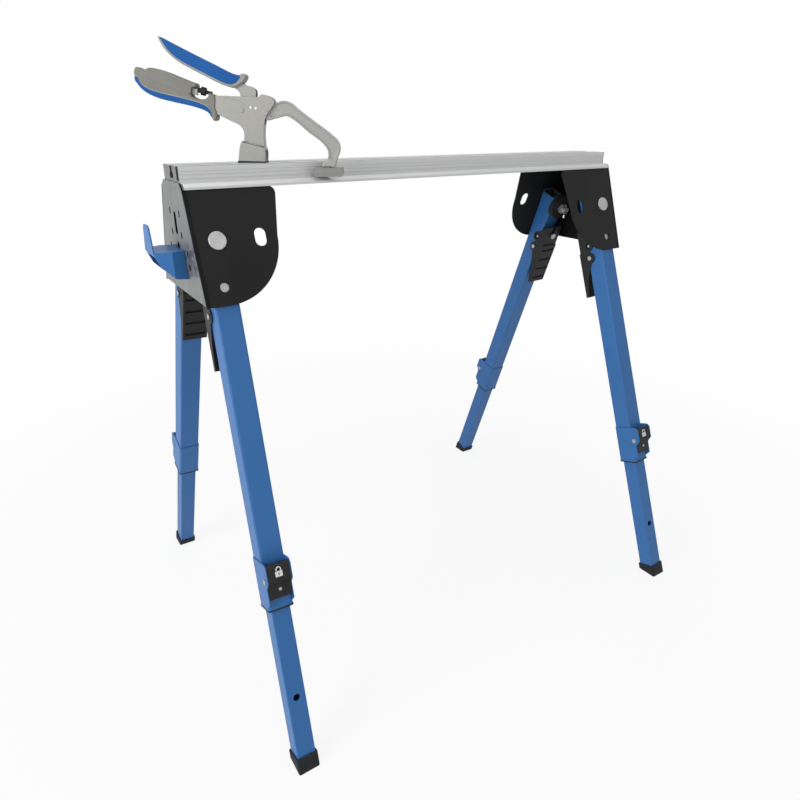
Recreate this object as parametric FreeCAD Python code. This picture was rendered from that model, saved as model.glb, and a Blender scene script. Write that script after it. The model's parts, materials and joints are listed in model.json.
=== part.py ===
import FreeCAD
import Part
import math
import os

Vec = FreeCAD.Vector

# Rail: an aluminium extrusion with a central T-slot, a slot near its front edge and ledges along both sides.
bench_height = 760.0
rail_length = 762.0
rail_width = 71.0
rail_depth = 26.0
flange_width = 100.0
flange_depth = 7.0
flange_chamfer = 4.0
slot_mouth = 9.0
slot_lip = 8.5
channel_width = 15.0
channel_depth = 6.5
front_slot_width = 9.0
front_slot_depth = 16.5
rail_wall = 3.5
groove_width = 1.4
groove_depth = 0.7
groove_drop_shares = (0.33, 0.53, 0.80)

# End brackets: one upright end plate and two side plates that lean with the legs.
leg_tilt = 20.0
leg_lean = 2.0
pivot_inset = 27.6
pivot_drop = 85.0
pivot_spread = 69.8
plate_thickness = 3.0
plate_arc_radius = 80.5
plate_top_reach = 94.8
plate_corner_radius = 8.0
stow_slot_width = 15.7
stow_slot_length = 23.0
end_plate_thickness = 2.5
end_plate_chamfer = 6.0
end_slot_width = 10.0
end_slot_long = 28.5
end_hook_slot = 28.0
small_slot_width = 5.0
small_slot_height = 8.5
long_slot_share = 0.64
hook_slot_share = 0.37
small_slot_shares = ((0.51, 0.735), (0.51, 0.545), (0.90, 0.402), (1.0, 0.28))

# Leg pivots: bolt, nut and a black spacer on the inboard side of each leg.
bolt_radius = 6.0
bolt_head_radius = 11.5
bolt_head_height = 2.6
bolt_head_round = 1.2
bolt_stud = 7.0
nut_flats = 16.0
nut_height = 7.0
spacer_radius = 15.0
spacer_height = 11.0
running_gap = 0.4
leg_gap = 1.0

# Legs: lower tube in a guide sleeve in the upper tube, with a collar and a rubber foot.
lower_width = 26.8
tube_wall = 1.4
sleeve_wall = 0.8
slide_gap = 0.3
tube_round = 2.6
upper_length = 480.0
upper_rise = 20.0
upper_top_round = 9.0
lower_overlap = 180.0
foot_width = 31.4
foot_height = 17.0
foot_socket = 8.0
sleeve_length = 53.0
sleeve_lip = 1.2
collar_length = 74.0
collar_wall = 1.3
ear_reach = 17.0
ear_step = 9.0
ear_round = 6.0
ear_profile_shares = (0.06, 0.44, 0.56, 0.86)

# Height latch: a rocker between the collar's ears that carries the height pin.
latch_rivet_rise = 42.0
latch_rivet_reach = 6.0
rivet_radius = 2.5
rivet_head_radius = 4.0
rivet_head = 1.5
latch_pin_rise = 28.7
latch_pin_radius = 2.2
latch_pin_tip = 0.2
latch_pin_proud = 0.6
latch_pin_room = 3.0
latch_length = 45.0
latch_depth = 16.0
latch_boss_radius = 4.5
latch_rise_share = 0.42
latch_outline_shares = (
    (0.0, 0.58), (0.0, 0.86), (0.06, 0.97), (0.48, 1.0), (0.56, 0.66), (0.94, 0.56), (1.0, 0.48), (1.0, 0.16),
    (0.56, 0.16), (0.40, 0.45),
)
height_hole_radius = 4.8
height_step = 159.0

# Lock pin and release lever on the inboard side of each leg.
lock_radius = 57.3
lock_pin_radius = 6.0
lock_neck_radius = 2.5
lock_head_radius = 5.5
lock_head = 3.0
lock_body_end = 5.0
lock_fork_gap = 1.2
lever_top = 39.0
lever_bottom = 160.0
lever_stand = 11.0
lever_web = 3.0
lever_cheek = 2.0
lever_pivot_drop = 89.0
lever_pivot_depth = 6.0
lever_stop_drop = 67.0
lever_stop_room = 3.4
lever_lobe_radius = 9.5
lever_rim = 3.4
lever_groove_count = 4
lever_groove_width = 5.0
lever_groove_depth = 2.2
lever_grip_share = 0.32
lever_tail_share = 0.55

# Work support: a folded steel hook on the left end plate.
support_root_width = 52.0
support_width = 62.0
support_reach = 38.5
support_flare = 17.0
support_lip_width = 44.0
support_lip_top_width = 26.0
support_lip_height = 32.0
support_lip_round = 8.0
support_depth = 37.0
support_sheet = 2.0
support_drop = 101.0
support_side_shares = ((0.0, 1.0), (0.42, 0.92), (0.78, 0.52), (1.0, 0.0))
hook_width = 6.0
hook_height = 9.0
hook_tail = 6.0
hook_gap = 0.4

# Bench clamp: base, body, lever, arm, grips, pad and thumb screw, in its own upright plane.
clamp_place = -271.5
clamp_swivel = 32.0
boot_length = 38.8
boot_height = 25.3
boot_thickness = 24.0
boot_outline_shares = ((-0.5, 0.0), (0.5, 0.0), (0.405, 0.745), (-0.335, 1.0))
boot_lift = 0.4
stem_radius = 4.0
stem_rise = 7.0
button_radius = 6.5
button_height = 5.0
body_length = 72.5
body_height = 82.7
body_plate = 2.6
body_void_share = 0.556
body_void_shares = (-0.575, 0.56)
body_outline_shares = (
    (-0.119, 0.10), (-0.116, 0.389), (-0.142, 0.528), (-0.561, 0.693), (-1.103, 0.858), (-1.103, 0.919),
    (-0.561, 0.871), (-0.53, 0.952), (-0.276, 0.937), (-0.124, 0.905), (0.0, 0.925), (0.124, 0.948),
    (0.172, 0.961), (0.228, 0.972), (0.439, 0.908), (0.43, 0.804), (0.262, 0.595), (0.218, 0.433),
    (0.179, 0.23), (0.179, 0.10),
)
lever_pin_shares = (-0.117, 0.762)
arm_pin_shares = (0.303, 0.7255)
sight_hole_shares = ((0.04, 0.804), (0.14, 0.79))
sight_hole_radius = 2.7
sight_window_radius = 5.2
clamp_pin_radius = 3.5
clamp_pin_head = 0.8
clamp_core = 11.0
clamp_gap = 0.4
lever_run = 40.0
lever_rise = 50.0
lever_outline_shares = (
    (-0.175, -0.10), (0.0, -0.16), (0.175, -0.10), (0.1875, 0.14), (0.45, 0.165), (0.4825, 0.452),
    (0.1125, 0.56), (0.0375, 0.66), (-0.9875, 0.98), (-1.0375, 0.86), (-0.2875, 0.54), (-0.1875, 0.34),
)
arm_reach = 95.0
arm_drop = 60.0
arm_root_radius = 9.0
arm_bend = 8.0
arm_outline_shares = (
    (-0.021, -0.15), (0.256, -0.06), (0.846, -0.748), (0.79, -1.075), (0.905, -1.085), (0.996, -0.717),
    (0.974, -0.587), (0.328, 0.178), (0.227, 0.237), (0.021, 0.15),
)
arm_bend_corners = (1, 2, 5, 6, 7, 8)
arm_bend_shares = (0.8, 0.5, 0.45, 0.45, 0.6, 1.0)
arm_pocket_shares = ((0.284, -0.023), (0.84, -0.683), (0.896, -0.565), (0.34, 0.095))
arm_pocket_depth = 1.2
arm_ball_share = 0.8263
arm_neck_radius = 3.5
ball_radius = 5.0
ball_drop = 69.0
pad_length = 39.0
pad_width = 15.0
pad_height = 11.3
pad_chamfer = 2.5
pad_cap = 2.5
grip_thickness = 20.0
grip_round = 2.0
upper_grip_length = 105.0
upper_grip_height = 55.6
upper_grip_place_shares = (0.2125, 0.524)
upper_grip_shares = (
    (-1.0, 1.0), (-0.535, 0.586), (-0.174, 0.263), (-0.075, 0.205), (0.0, 0.246), (-0.02, 0.12),
    (-0.179, 0.0), (-0.49, 0.23), (-0.80, 0.522), (-0.924, 0.752),
)
lower_grip_length = 97.8
lower_grip_height = 60.5
lower_grip_place_shares = (-0.572, 0.615)
lower_grip_shares = (
    (-0.996, 1.0), (-0.861, 0.972), (-0.249, 0.717), (-0.235, 0.45), (-0.10, 0.43), (-0.085, 0.60),
    (0.0, 0.43), (-0.02, 0.03), (-0.052, 0.0), (-0.111, 0.136), (-0.421, 0.312), (-0.846, 0.516),
    (-1.0, 0.775),
)
screw_place_shares = (-0.168, 0.565)
screw_slope = 14.4
screw_radius = 2.2
screw_length = 26.0
screw_collar_radius = 3.0
screw_collar = 4.0
knob_radius = 5.0
knob_length = 6.0

cut_over = 5.0


# Working shapes in the three coordinate planes.
def spot(across, u, v, w):
    if across == "x":
        return Vec(w, u, v)
    if across == "y":
        return Vec(u, w, v)
    return Vec(u, v, w)


def outline(points, across, w):
    edges = []
    marks = []
    count = len(points)
    for i in range(count):
        here = Vec(points[i][0], points[i][1], 0)
        radius = points[i][2] if len(points[i]) > 2 else 0
        if radius == 0:
            marks.append((here, None, here))
            continue
        back = Vec(points[i - 1][0], points[i - 1][1], 0) - here
        ahead = Vec(points[(i + 1) % count][0], points[(i + 1) % count][1], 0) - here
        back.normalize()
        ahead.normalize()
        half = math.acos(max(-1, min(1, back.dot(ahead)))) / 2
        middle = back + ahead
        middle.normalize()
        centre = here + middle * (radius / math.sin(half))
        run = radius / math.tan(half)
        marks.append((here + back * run, centre - middle * radius, here + ahead * run))
    for i in range(count):
        start, bend, end = marks[i]
        if bend is not None:
            arc = Part.Arc(spot(across, start.x, start.y, w), spot(across, bend.x, bend.y, w),
                           spot(across, end.x, end.y, w))
            edges.append(arc.toShape())
        follow = marks[(i + 1) % count][0]
        if (follow - end).Length > end_skip:
            edges.append(Part.makeLine(spot(across, end.x, end.y, w), spot(across, follow.x, follow.y, w)))
    return Part.Wire(edges)


def prism(points, across, low, high):
    face = Part.Face(outline(points, across, low))
    return face.extrude(spot(across, 0, 0, high - low))


def block(x0, x1, y0, y1, z0, z1):
    return Part.makeBox(x1 - x0, y1 - y0, z1 - z0, Vec(x0, y0, z0))


def rod(radius, across, u, v, low, high):
    return Part.makeCylinder(radius, high - low, spot(across, u, v, low), spot(across, 0, 0, 1))


def square_bar(width, corner, centre, low, high):
    half = width / 2
    points = ((-half, centre - half, corner), (half, centre - half, corner),
              (half, centre + half, corner), (-half, centre + half, corner))
    return prism(points, "z", low, high)


def square_tube(width, wall, corner, centre, low, high):
    bar = square_bar(width, corner, centre, low, high)
    return bar.cut(square_bar(width - 2 * wall, corner - wall / 2, centre, low - cut_over, high + cut_over))


def spread(shares, length, height, u0, v0, rounds=None):
    points = []
    for i, share in enumerate(shares):
        radius = rounds.get(i, 0) if rounds else 0
        points.append((u0 + share[0] * length, v0 + share[1] * height, radius))
    return points


def rounded(shape, radius, normal):
    edges = []
    for face in shape.Faces:
        flat = face.Surface.TypeId == "Part::GeomPlane"
        if flat and abs(face.normalAt(0, 0).dot(normal)) > face_match_share:
            edges.extend(face.OuterWire.Edges)
    return shape.makeFillet(radius, edges)


face_match_share = 0.999
end_skip = cut_over / 1e6
tilt = math.radians(leg_tilt)
lean = math.radians(leg_lean)
half_length = rail_length / 2
rail_bottom = bench_height - rail_depth
box_height = rail_depth - flange_depth
ledge_height = rail_bottom + flange_depth
pivot_x = half_length - pivot_inset
pivot_z = bench_height - pivot_drop
end_face = half_length + end_plate_thickness

# Leg frame: x outward along the rail, y out through the side plate, z up along the leg.
sleeve_width = lower_width + 2 * (slide_gap + sleeve_wall)
upper_width = sleeve_width + 2 * (slide_gap + tube_wall)
collar_width = upper_width + 2 * collar_wall
tube_face = -plate_thickness - leg_gap
tube_axis = tube_face - upper_width / 2
tube_inside = tube_face - upper_width
axis_floor = (pivot_z + tube_axis * math.sin(tilt)) / (math.cos(tilt) * math.cos(lean))
foot_top = axis_floor - foot_height
foot_reach = axis_floor + foot_width
foot_x = pivot_x + axis_floor * math.sin(lean) + foot_width / 2 / math.cos(lean)

# Places along the leg, counted down from its pivot.
lower_top = upper_length - lower_overlap
collar_top = upper_length - collar_length
latch_rivet_drop = upper_length - latch_rivet_rise
latch_pin_drop = upper_length - latch_pin_rise

# The finished part is centred between its outermost foot and the lip of the work support.
shift_x = (end_face + support_reach - foot_x) / 2

plate_turn = FreeCAD.Placement(Vec(pivot_x, pivot_spread, pivot_z), FreeCAD.Rotation(Vec(1, 0, 0), leg_tilt))
leg_turn = plate_turn.multiply(FreeCAD.Placement(Vec(0, 0, 0), FreeCAD.Rotation(Vec(0, 1, 0), -leg_lean)))
corners = (("left_front", True, True), ("left_back", True, False), ("right_front", False, True),
           ("right_back", False, False))


def placed(shape, turn):
    copy = shape.copy()
    copy.Placement = turn.multiply(copy.Placement)
    return copy


def mirrored(shape, left, front):
    result = shape
    if left:
        result = result.mirror(Vec(0, 0, 0), Vec(1, 0, 0))
    if front:
        result = result.mirror(Vec(0, 0, 0), Vec(0, 1, 0))
    return result


# Rail with T-slot, front slot and the shallow grooves along its sides.
half_box = rail_width / 2
half_flange = flange_width / 2
rail_section = (
    (-half_flange, rail_bottom), (half_flange, rail_bottom), (half_flange, ledge_height - flange_chamfer),
    (half_flange - flange_chamfer, ledge_height), (half_box, ledge_height), (half_box, bench_height),
    (-half_box, bench_height), (-half_box, ledge_height), (flange_chamfer - half_flange, ledge_height),
    (-half_flange, ledge_height - flange_chamfer),
)
rail = prism(rail_section, "x", -half_length, half_length)
rail_end = half_length + cut_over
mouth_floor = bench_height - slot_lip
rail = rail.cut(block(-rail_end, rail_end, -slot_mouth / 2, slot_mouth / 2, mouth_floor,
                      bench_height + cut_over))
rail = rail.cut(block(-rail_end, rail_end, -channel_width / 2, channel_width / 2,
                      mouth_floor - channel_depth, mouth_floor))
front_slot_y = rail_wall - half_box
rail = rail.cut(block(-rail_end, rail_end, front_slot_y, front_slot_y + front_slot_width,
                      bench_height - front_slot_depth, bench_height + cut_over))
for side in (-1, 1):
    groove_y = sorted((side * (half_box - groove_depth), side * (half_box + cut_over)))
    for share in groove_drop_shares:
        groove_z = bench_height - share * box_height
        rail = rail.cut(block(-rail_end, rail_end, groove_y[0], groove_y[1], groove_z - groove_width / 2,
                              groove_z + groove_width / 2))

# Side plate with pivot hole, lock hole and the slot that takes the lock pin when the leg is folded.
plate_top = pivot_drop / math.cos(tilt)
plate_edge = end_face - pivot_x
side_outline = (
    (plate_edge, -plate_arc_radius), (plate_edge, plate_top), (-plate_top_reach, plate_top),
    (-plate_arc_radius, 0), (-plate_arc_radius, -plate_arc_radius, plate_arc_radius),
)
side_plate = prism(side_outline, "y", -plate_thickness, 0)
hole_low = -plate_thickness - cut_over
side_plate = side_plate.cut(rod(bolt_radius, "y", 0, 0, hole_low, cut_over))
lock_x = lock_radius * math.sin(lean)
lock_z = -lock_radius * math.cos(lean)
side_plate = side_plate.cut(rod(lock_pin_radius + running_gap, "y", lock_x, lock_z, hole_low, cut_over))
slot_half = stow_slot_length / 2
slot_edge = stow_slot_width / 2
slot_round = slot_edge - running_gap
slot_near = -lock_radius + slot_edge
slot_far = -lock_radius - slot_edge
stow_outline = ((slot_far, -slot_half, slot_round), (slot_near, -slot_half, slot_round),
                (slot_near, slot_half, slot_round), (slot_far, slot_half, slot_round))
stow_slot = prism(stow_outline, "y", hole_low, cut_over)
side_plate = placed(side_plate.cut(stow_slot), plate_turn)
above_rail = block(0, rail_length, -flange_width, flange_width, rail_bottom, bench_height + pivot_drop)
side_plate = side_plate.cut(above_rail)
corner_z = rail_bottom
corner_x = pivot_x - plate_top_reach
corner_edges = [edge for edge in side_plate.Edges
                if len(edge.Vertexes) == 2
                and all(abs(v.Z - corner_z) < plate_thickness and v.X < corner_x + plate_corner_radius * 2
                        for v in edge.Vertexes)
                and abs(edge.Vertexes[0].X - edge.Vertexes[1].X) < running_gap
                and abs(edge.Vertexes[0].Y - edge.Vertexes[1].Y) > plate_thickness / 2]
side_plate = side_plate.makeFillet(plate_corner_radius, corner_edges)

# End plate between the side plates, with its rows of slots.
inner_spread = pivot_spread - plate_thickness / math.cos(tilt)
end_low = pivot_z - plate_arc_radius * math.cos(tilt) + plate_thickness * math.sin(tilt)
end_high = ledge_height
end_span = end_high - end_low


def end_half(z):
    return inner_spread - (z - pivot_z) * math.tan(tilt)


top_half = end_half(end_high)
chamfer_z = end_high - end_plate_chamfer
chamfer_half = end_half(chamfer_z)
end_outline = (
    (-end_half(end_low), end_low), (end_half(end_low), end_low), (chamfer_half, chamfer_z),
    (top_half - end_plate_chamfer, end_high), (end_plate_chamfer - top_half, end_high),
    (-chamfer_half, chamfer_z),
)
end_plate = prism(end_outline, "x", half_length, end_face)


def end_slot(y, z, width, height):
    corner = width / 2 - running_gap
    points = ((y - width / 2, z - height / 2, corner), (y + width / 2, z - height / 2, corner),
              (y + width / 2, z + height / 2, corner), (y - width / 2, z + height / 2, corner))
    return prism(points, "x", half_length - cut_over, end_face + cut_over)


end_plate = end_plate.cut(end_slot(0, end_low + long_slot_share * end_span, end_slot_width, end_slot_long))
hook_slot_z = end_low + hook_slot_share * end_span
end_plate = end_plate.cut(end_slot(0, hook_slot_z, end_slot_width, end_hook_slot))
for y_share, z_share in small_slot_shares:
    for side in (-1, 1):
        end_plate = end_plate.cut(end_slot(side * y_share * top_half, end_low + z_share * end_span,
                                           small_slot_width, small_slot_height))

# Pivot bolt, nut and spacer on the leg's turning axis.
spacer_low = tube_inside - leg_gap / 2 - spacer_height
nut_low = spacer_low - nut_height
bolt_head = rod(bolt_head_radius, "y", 0, 0, 0, bolt_head_height)
head_rim = [edge for edge in bolt_head.Edges if abs(edge.CenterOfMass.y - bolt_head_height) < bolt_head_round]
bolt_head = bolt_head.makeFillet(bolt_head_round, head_rim)
bolt = bolt_head.fuse(rod(bolt_radius, "y", 0, 0, nut_low - bolt_stud, 0))
bolt = bolt.removeSplitter()
nut_corner = nut_flats / math.sqrt(3)
nut_turns = [math.radians(60 * i) for i in range(6)]
hexagon = [(nut_corner * math.cos(turn), nut_corner * math.sin(turn)) for turn in nut_turns]
nut = prism(hexagon, "y", nut_low, spacer_low).cut(rod(bolt_radius, "y", 0, 0, nut_low - cut_over, cut_over))
spacer = rod(spacer_radius, "y", 0, 0, spacer_low, spacer_low + spacer_height)
spacer = spacer.cut(rod(bolt_radius, "y", 0, 0, spacer_low - cut_over, cut_over))

# Upper tube with a rounded top, pivot and lock bores, rivet holes and the opening for the height pin.
half_upper = upper_width / 2
upper_tube = square_tube(upper_width, tube_wall, tube_round, tube_axis, -upper_length, upper_rise)
top_outline = ((-half_upper, -upper_length), (half_upper, -upper_length),
               (half_upper, upper_rise, upper_top_round), (-half_upper, upper_rise, upper_top_round))
upper_tube = upper_tube.common(prism(top_outline, "y", tube_inside - cut_over, tube_face + cut_over))
bore_low = tube_inside - cut_over
bore_high = tube_face + cut_over
lever_axis = tube_inside + lever_pivot_depth
pin_room = latch_pin_radius + latch_pin_room
upper_tube = upper_tube.cut(rod(bolt_radius + running_gap, "y", 0, 0, bore_low, bore_high))
upper_tube = upper_tube.cut(rod(lock_pin_radius + running_gap, "y", 0, -lock_radius, bore_low, bore_high))
upper_tube = upper_tube.cut(rod(pin_room, "y", 0, -latch_pin_drop, tube_axis, bore_high))
for drop in (lever_pivot_drop, lever_stop_drop):
    upper_tube = upper_tube.cut(rod(rivet_radius, "x", lever_axis, -drop, -upper_width, upper_width))

# Collar: a steel sleeve whose two lobed ears carry the height latch.
half_collar = collar_width / 2
collar_span = upper_length - collar_top
collar = square_bar(collar_width, tube_round + collar_wall, tube_axis, -upper_length, -collar_top)
ear_face = tube_face + ear_reach
step_face = tube_face + ear_step
ear_marks = [-collar_top - share * collar_span for share in ear_profile_shares]
ear_outline = (
    (tube_axis, -collar_top), (tube_face, -collar_top), (ear_face, ear_marks[0] - ear_round, ear_round),
    (ear_face, ear_marks[1], ear_round / 2), (step_face, ear_marks[2], ear_round / 2),
    (step_face, ear_marks[3], ear_round / 2), (tube_face, ear_marks[3] - ear_round),
    (tube_axis, -upper_length),
)
collar = collar.fuse(prism(ear_outline, "x", -half_collar, -half_upper))
collar = collar.fuse(prism(ear_outline, "x", half_upper, half_collar))
hood_face = ear_face - ear_round
hood_drop = (collar_top + ear_marks[0] - ear_round) * (hood_face - tube_face) / ear_reach
hood_wall = collar_wall * math.sqrt(1 + (hood_drop / (hood_face - tube_face)) ** 2)
hood_outline = ((tube_face, -collar_top), (hood_face, hood_drop - collar_top),
                (hood_face, hood_drop - collar_top - hood_wall), (tube_face, -collar_top - hood_wall))
collar = collar.fuse(prism(hood_outline, "x", -half_upper, half_upper))
collar = collar.cut(square_bar(upper_width, tube_round, tube_axis, -upper_length - cut_over,
                               cut_over - collar_top))
collar = collar.cut(rod(pin_room, "y", 0, -latch_pin_drop, tube_axis, bore_high))
latch_axis = tube_face + latch_rivet_reach
collar = collar.cut(rod(rivet_radius, "x", latch_axis, -latch_rivet_drop, -collar_width, collar_width))
collar = collar.removeSplitter()

# Rivets: the latch rivet across the ears, the lever rivet and the lever's stop rivet across the tube.
cheek_low = half_upper + running_gap
cheek_high = cheek_low + lever_cheek


def rivet(y, drop, half_span):
    shank = rod(rivet_radius, "x", y, -drop, -half_span, half_span)
    left_head = rod(rivet_head_radius, "x", y, -drop, -half_span - rivet_head, -half_span)
    right_head = rod(rivet_head_radius, "x", y, -drop, half_span, half_span + rivet_head)
    return shank.fuse([left_head, right_head]).removeSplitter()


lever_grip_span = cheek_high + slide_gap
stop_span = cheek_high - lever_cheek / 2
rivets = [rivet(latch_axis, latch_rivet_drop, half_collar),
          rivet(lever_axis, lever_pivot_drop, lever_grip_span),
          rod(rivet_radius, "x", lever_axis, -lever_stop_drop, -stop_span, stop_span)]

# Guide sleeve, lower tube and foot.
sleeve_low = upper_length + sleeve_lip
sleeve = square_tube(sleeve_width, sleeve_wall, tube_round - tube_wall / 2, tube_axis, -sleeve_low,
                     sleeve_length - sleeve_low)
lower_end = foot_top + foot_socket
lower_round = tube_round - tube_wall / 2 - sleeve_wall / 2
lower_tube = square_tube(lower_width, tube_wall, lower_round, tube_axis, -lower_end, -lower_top)
lower_face = tube_axis + lower_width / 2
for drop in (latch_pin_drop, latch_pin_drop + height_step):
    lower_tube = lower_tube.cut(rod(height_hole_radius, "y", 0, -drop, tube_axis, lower_face + cut_over))
foot = square_bar(foot_width, tube_round, tube_axis, -foot_reach, -foot_top)
foot = foot.cut(square_bar(lower_width, lower_round, tube_axis, -lower_end, cut_over - foot_top))
foot = placed(foot, leg_turn)
ground = block(0, rail_length, 0, rail_length, -foot_reach, 0)
foot = foot.cut(ground)

# Height latch and its pin.
latch_half = half_upper - running_gap
latch_top = latch_rivet_drop - latch_rise_share * latch_length
latch_points = [(tube_face + share[1] * latch_depth, -latch_top - share[0] * latch_length)
                for share in latch_outline_shares]
latch = prism(latch_points, "x", -latch_half, latch_half)
latch = latch.fuse(rod(latch_boss_radius, "x", latch_axis, -latch_rivet_drop, -latch_half, latch_half))
latch = latch.cut(rod(rivet_radius + running_gap, "x", latch_axis, -latch_rivet_drop, -upper_width,
                      upper_width))
pin_low = tube_face - tube_wall + latch_pin_tip
latch_nose = tube_face + latch_depth
height_pin = rod(latch_pin_radius, "y", 0, -latch_pin_drop, pin_low, latch_nose)
pin_face_share = latch_outline_shares[4][1]
pin_end = tube_face + pin_face_share * latch_depth + latch_pin_proud
height_pin = height_pin.common(block(-half_upper, half_upper, bore_low, pin_end, -upper_length, 0))
latch = latch.cut(rod(latch_pin_radius, "y", 0, -latch_pin_drop, tube_axis, latch_nose + cut_over))
latch = latch.removeSplitter()

# Lock pin: body in the tube, neck through the lever's fork and a head behind it.
pin_tip = -plate_thickness - slide_gap
fork_low = tube_inside - lever_stand - lever_web
head_high = fork_low - lock_fork_gap
lock_pin = rod(lock_pin_radius, "y", 0, -lock_radius, tube_inside - lock_body_end, pin_tip)
lock_pin = lock_pin.fuse(rod(lock_neck_radius, "y", 0, -lock_radius, head_high, tube_inside))
lock_pin = lock_pin.fuse(rod(lock_head_radius, "y", 0, -lock_radius, head_high - lock_head, head_high))
lock_pin = lock_pin.removeSplitter()

# Release lever: grooved web on the inboard side with two cheeks that hold it on the tube.
web_high = tube_inside - lever_stand
lever_length = lever_bottom - lever_top
lever = block(-cheek_high, cheek_high, fork_low, web_high, -lever_bottom, -lever_top)
tail_drop = lever_bottom * lever_tail_share + lever_pivot_drop * (1 - lever_tail_share)
cheek_outline = (
    (fork_low, -lever_bottom), (web_high, -lever_bottom), (web_high + lever_stand / 2, -tail_drop),
    (lever_axis, -lever_pivot_drop - lever_lobe_radius), (lever_axis, lever_lobe_radius - lever_stop_drop),
    (web_high, -lever_top), (fork_low, -lever_top),
)
for inner, outer in ((-cheek_high, -cheek_low), (cheek_low, cheek_high)):
    lever = lever.fuse(prism(cheek_outline, "x", inner, outer))
    for drop in (lever_pivot_drop, lever_stop_drop):
        lever = lever.fuse(rod(lever_lobe_radius, "x", lever_axis, -drop, inner, outer))
grip_face = fork_low - lever_groove_depth
grip_top = lever_top + lever_grip_share * lever_length
lever = lever.fuse(block(-cheek_high, cheek_high, grip_face, fork_low, -lever_bottom, -grip_top))
groove_step = (lever_bottom - grip_top) / lever_groove_count
groove_half = cheek_high - lever_rim
for i in range(lever_groove_count):
    groove_z = -grip_top - (i + 0.5) * groove_step
    lever = lever.cut(block(-groove_half, groove_half, grip_face - cut_over, fork_low,
                            groove_z - lever_groove_width / 2, groove_z + lever_groove_width / 2))
fork_half = lock_neck_radius + 2 * running_gap
fork_end = lock_radius + running_gap
lever = lever.cut(block(-fork_half, fork_half, fork_low - cut_over, web_high + cut_over, -fork_end,
                        cut_over - lever_top))
lever = lever.cut(rod(fork_half, "y", 0, -fork_end, fork_low - cut_over, web_high + cut_over))
for drop, room in ((lever_pivot_drop, running_gap), (lever_stop_drop, lever_stop_room)):
    lever = lever.cut(rod(rivet_radius + room, "x", lever_axis, -drop, -upper_width, upper_width))
lever = lever.removeSplitter()

# Work support: shelf, splayed sides, back wall with a hook and an upturned lip.
support_top = bench_height - support_drop
support_low = support_top - support_depth
half_support = support_width / 2
half_root = support_root_width / 2
half_lip = support_lip_width / 2


def support_plan(inset):
    return ((inset, -half_root + inset), (support_flare, -half_support + inset),
            (support_reach - inset, -half_lip + inset), (support_reach - inset, half_lip - inset),
            (support_flare, half_support - inset), (inset, half_root - inset))


support_side = [(0, support_top)]
for reach_share, depth_share in support_side_shares:
    support_side.append((reach_share * support_reach, support_top - support_sheet
                         - depth_share * (support_depth - support_sheet)))
support_side.append((support_reach, support_top))
support = prism(support_plan(0), "z", support_low, support_top)
support = support.common(prism(support_side, "y", -half_support, half_support))
support = support.cut(prism(support_plan(support_sheet), "z", support_low - cut_over,
                            support_top - support_sheet))
lip_outline = ((-half_lip, support_top - support_sheet), (half_lip, support_top - support_sheet),
               (support_lip_top_width / 2, support_top + support_lip_height, support_lip_round),
               (-support_lip_top_width / 2, support_top + support_lip_height, support_lip_round))
support = support.fuse(prism(lip_outline, "x", support_reach - support_sheet, support_reach))
hook_back = -end_plate_thickness - hook_gap
slot_end = end_slot_width / 2 - running_gap
hook_seat = slot_end - math.sqrt(slot_end ** 2 - (hook_width / 2 - running_gap) ** 2)
hook_low = hook_slot_z - end_hook_slot / 2 + hook_seat + hook_gap
hook_high = hook_low + hook_height
support = support.fuse(block(hook_back - support_sheet, support_sheet, -hook_width / 2, hook_width / 2,
                             hook_low, hook_high))
support = support.fuse(block(hook_back - support_sheet, hook_back, -hook_width / 2, hook_width / 2,
                             hook_low - hook_tail, hook_high))
support = support.removeSplitter()
support.translate(Vec(end_face, 0, 0))
support = support.mirror(Vec(0, 0, 0), Vec(1, 0, 0))

# Clamp frame: x towards the pad, y across the clamp, z up from the rail's top.
clamp_turn = FreeCAD.Placement(Vec(clamp_place, 0, bench_height),
                               FreeCAD.Rotation(Vec(0, 0, 1), -clamp_swivel))
half_core = clamp_core / 2
void_half = half_core + clamp_gap
half_body = void_half + body_plate
body_points = spread(body_outline_shares, body_length, body_height, 0, 0)
clamp_body = prism(body_points, "y", -half_body, half_body)
void_ends = [share * body_length for share in body_void_shares]
clamp_body = clamp_body.cut(block(void_ends[0], void_ends[1], -void_half, void_half,
                                  body_void_share * body_height, body_height + cut_over))
lever_pin = (lever_pin_shares[0] * body_length, lever_pin_shares[1] * body_height)
arm_pin = (arm_pin_shares[0] * body_length, arm_pin_shares[1] * body_height)
for pin in (lever_pin, arm_pin):
    clamp_body = clamp_body.cut(rod(clamp_pin_radius, "y", pin[0], pin[1], -boot_thickness, boot_thickness))
for u_share, v_share in sight_hole_shares:
    clamp_body = clamp_body.cut(rod(sight_hole_radius, "y", u_share * body_length, v_share * body_height,
                                    -boot_thickness, boot_thickness))
    clamp_body = clamp_body.cut(rod(sight_window_radius, "y", u_share * body_length, v_share * body_height,
                                    void_half, boot_thickness))
pin_half = half_body + clamp_pin_head
clamp_pins = [rod(clamp_pin_radius, "y", pin[0], pin[1], -pin_half, pin_half) for pin in (lever_pin, arm_pin)]

# Base boot, turning on the stem of a round button that slides in the T-slot.
boot = prism(spread(boot_outline_shares, boot_length, boot_height - boot_lift, 0, boot_lift), "y",
             -boot_thickness / 2, boot_thickness / 2)
button_high = -slot_lip - boot_lift * 2
button = rod(stem_radius, "z", 0, 0, button_high, stem_rise)
button = button.fuse(rod(button_radius, "z", 0, 0, button_high - button_height, button_high)).removeSplitter()
boot = boot.cut(clamp_body)
boot = boot.cut(rod(stem_radius + running_gap, "z", 0, 0, 0, stem_rise + running_gap))

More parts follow.
